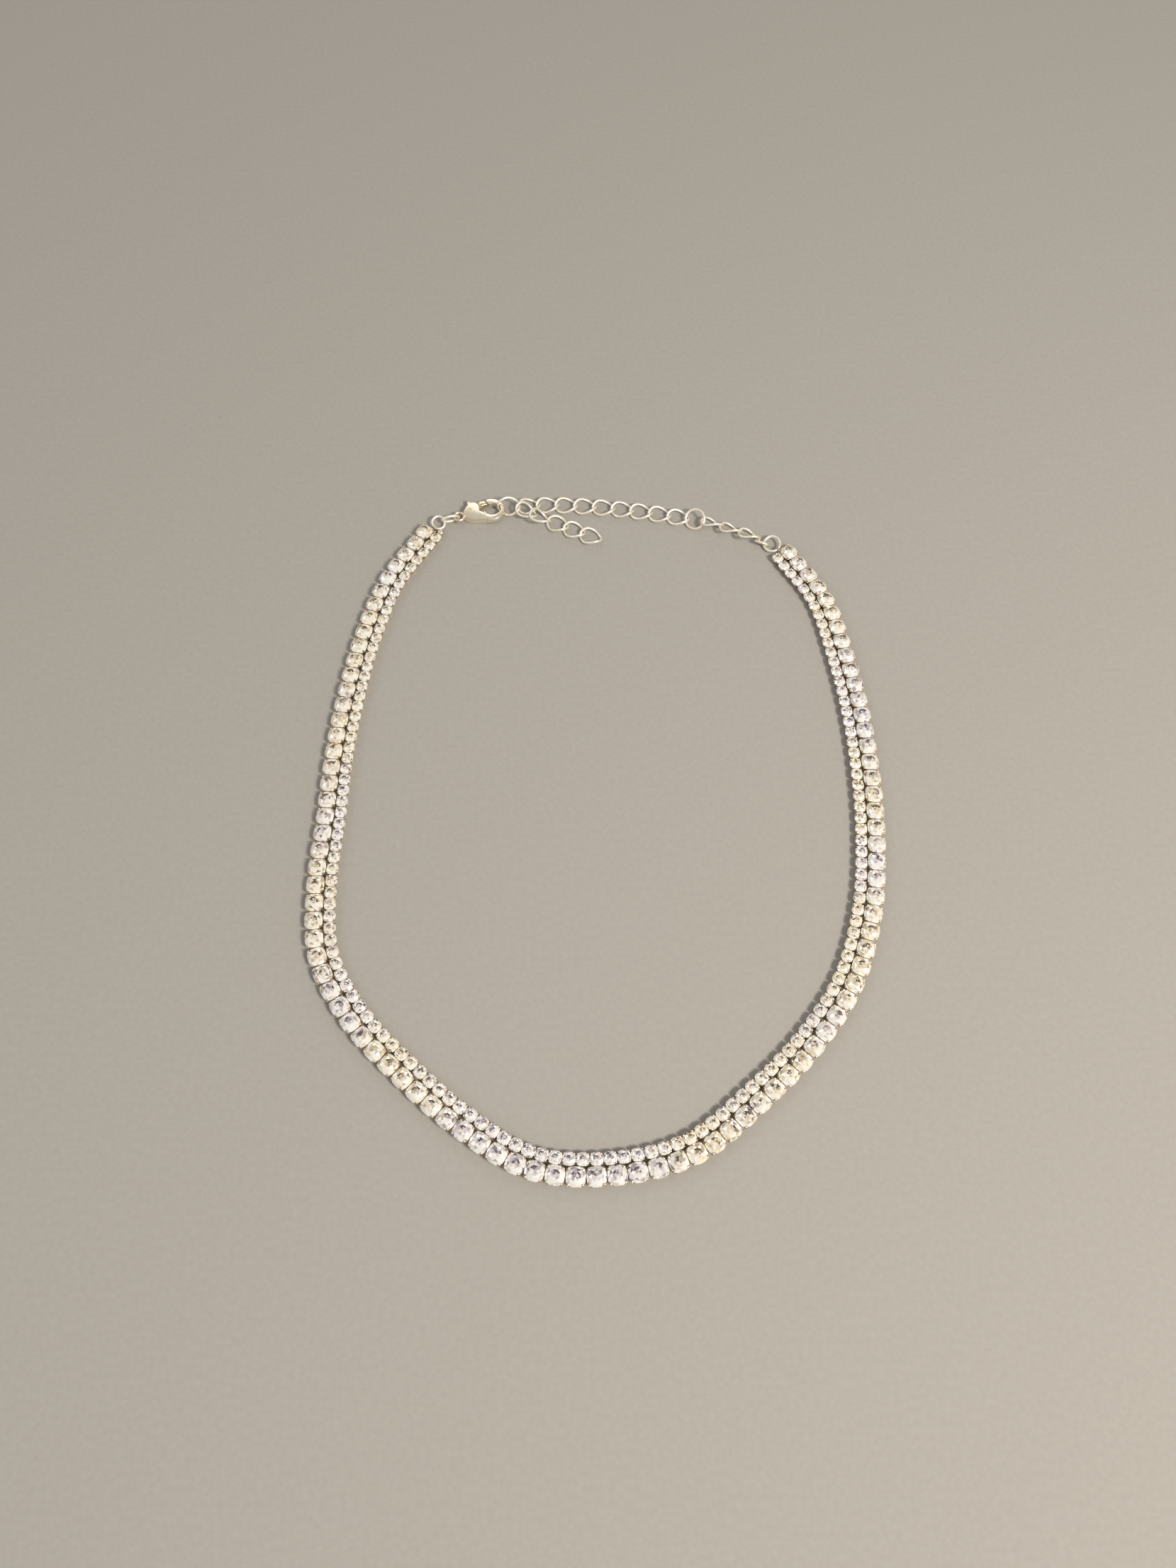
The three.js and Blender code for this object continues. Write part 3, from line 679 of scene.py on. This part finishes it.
def clasp_body_shape():
    hook = NEAR_SIDE + arc(*BOW, BOW_START, HOOK_TIP, BOW_FACETS)
    hook += arc(*HOLE, HOOK_TIP, HOLE_END, BOW_FACETS) + HOOK_ROOT
    cheek = NEAR_SIDE + CHEEK_FRONT + round_the_pivot(*CHEEK_ROUND) + CHEEK_FAR_SIDE
    spine = [(x, y + SPINE_INSET) for x, y in NEAR_SIDE] + SPINE_INSIDE
    shape = plate(hook, *HOOK_PLATE)
    merge_into(shape, plate(cheek, *LOWER_CHEEK))
    merge_into(shape, plate(cheek, *UPPER_CHEEK))
    merge_into(shape, plate(spine, *SPINE_PLATE))
    bow_middle, bow_radii = BOW
    outside = [radius - STEP_INSET for radius in bow_radii]
    inside = (STEP_INSIDE, STEP_INSIDE)
    for end, step_plate in BOW_STEPS:
        step = (arc(bow_middle, outside, STEP_STARTS[0], end, STEP_FACETS)
                + arc(bow_middle, inside, end, STEP_STARTS[1], STEP_FACETS))
        merge_into(shape, plate(step, *step_plate))
    merge_into(shape, spun_ring(**EYE))
    return shape


def clasp_lever_shape():
    shape = plate(round_the_pivot(*HEEL_ROUND) + WEB_INSIDE + NUB_STEM, *WEB_PLATE)
    bmesh.ops.create_uvsphere(
        shape, u_segments=NUB_SEGMENTS, v_segments=NUB_RINGS, radius=NUB_RADIUS,
        matrix=place_at(NUB_PLACE) @ Matrix.Diagonal((1, 1, NUB_FLATTEN, 1)))
    merge_into(shape, plate(round_the_pivot(*GATE_ROUND) + GATE_TIP, *GATE_PLATE))
    return shape


def clasp_pin_shape():
    shape = bmesh.new()
    bmesh.ops.create_cone(
        shape, segments=PIN_SIDES, radius1=PIN_RADIUS, radius2=PIN_RADIUS, depth=PIN_LENGTH,
        cap_ends=True, matrix=place_at((*PIVOT, PIN_MIDDLE)))
    round_edges(shape, [e for e in shape.edges if rise_of(e) < LEVEL], *PIN_ROUNDING)
    return shape


def add_clasp():
    for name, shape, material, slot, body in (
        ("clasp_body", clasp_body_shape(), CLASP_METAL, "silver", "necklace"),
        ("clasp_lever", clasp_lever_shape(), LEVER_METAL, "lever_silver", "lever"),
        ("clasp_pin", clasp_pin_shape(), CLASP_METAL, "silver", "necklace"),
    ):
        bmesh.ops.transform(shape, matrix=CLASP_FRAME, verts=shape.verts)
        piece = make_piece(name + "_metal", shape, material, [name], body)
        piece.data.set_sharp_from_angle(angle=math.radians(CLASP_CREASE))


# ---- Floor and light, in metres.
FLOOR_HALF = 3
# Each light's name, place, aim, size, power in watts and colour.
LIGHTS = (
    ("key_softbox", (0.42, -0.36, 0.62), (0, 0, 0), (0.18, 0.18), 6.6, "#fff6e8"),
    ("fill_softbox", (-0.6, 0.1, 0.6), (0, 0, 0), (0.5, 0.5), 0.8, "#f6f6ff"),
    ("back_softbox", (0.05, 0.75, 0.55), (0, 0.03, 0), (0.7, 0.25), 0.7, "#fffaf4"),
)
ROOM_COLOUR = "#e6e2dc"
ROOM_STRENGTH = 0.57


def add_floor():
    shape = bmesh.new()
    bmesh.ops.create_grid(shape, x_segments=1, y_segments=1, size=FLOOR_HALF)
    mesh = bpy.data.meshes.new("floor")
    shape.to_mesh(mesh)
    shape.free()
    mesh.materials.append(pale_paper())
    floor = bpy.data.objects.new("floor", mesh)
    bpy.context.scene.collection.objects.link(floor)


def add_light(name, place, aim, size, power, colour):
    data = bpy.data.lights.new(name, "AREA")
    data.shape = "RECTANGLE"
    data.size, data.size_y = size
    data.energy = power
    data.color = linear(colour)[:3]
    light = bpy.data.objects.new(name, data)
    light.location = place
    light.rotation_euler = (Vector(aim) - Vector(place)).to_track_quat("-Z", "Y").to_euler()
    bpy.context.scene.collection.objects.link(light)


def add_lights():
    for light in LIGHTS:
        add_light(*light)
    world = bpy.data.worlds.new("studio")
    world.use_nodes = True
    background = world.node_tree.nodes["Background"]
    background.inputs["Color"].default_value = linear(ROOM_COLOUR)
    background.inputs["Strength"].default_value = ROOM_STRENGTH
    bpy.context.scene.world = world
    bpy.context.scene.view_settings.view_transform = "Standard"


add_camera()
add_rows()
add_loops()
add_clasp()
add_floor()
add_lights()
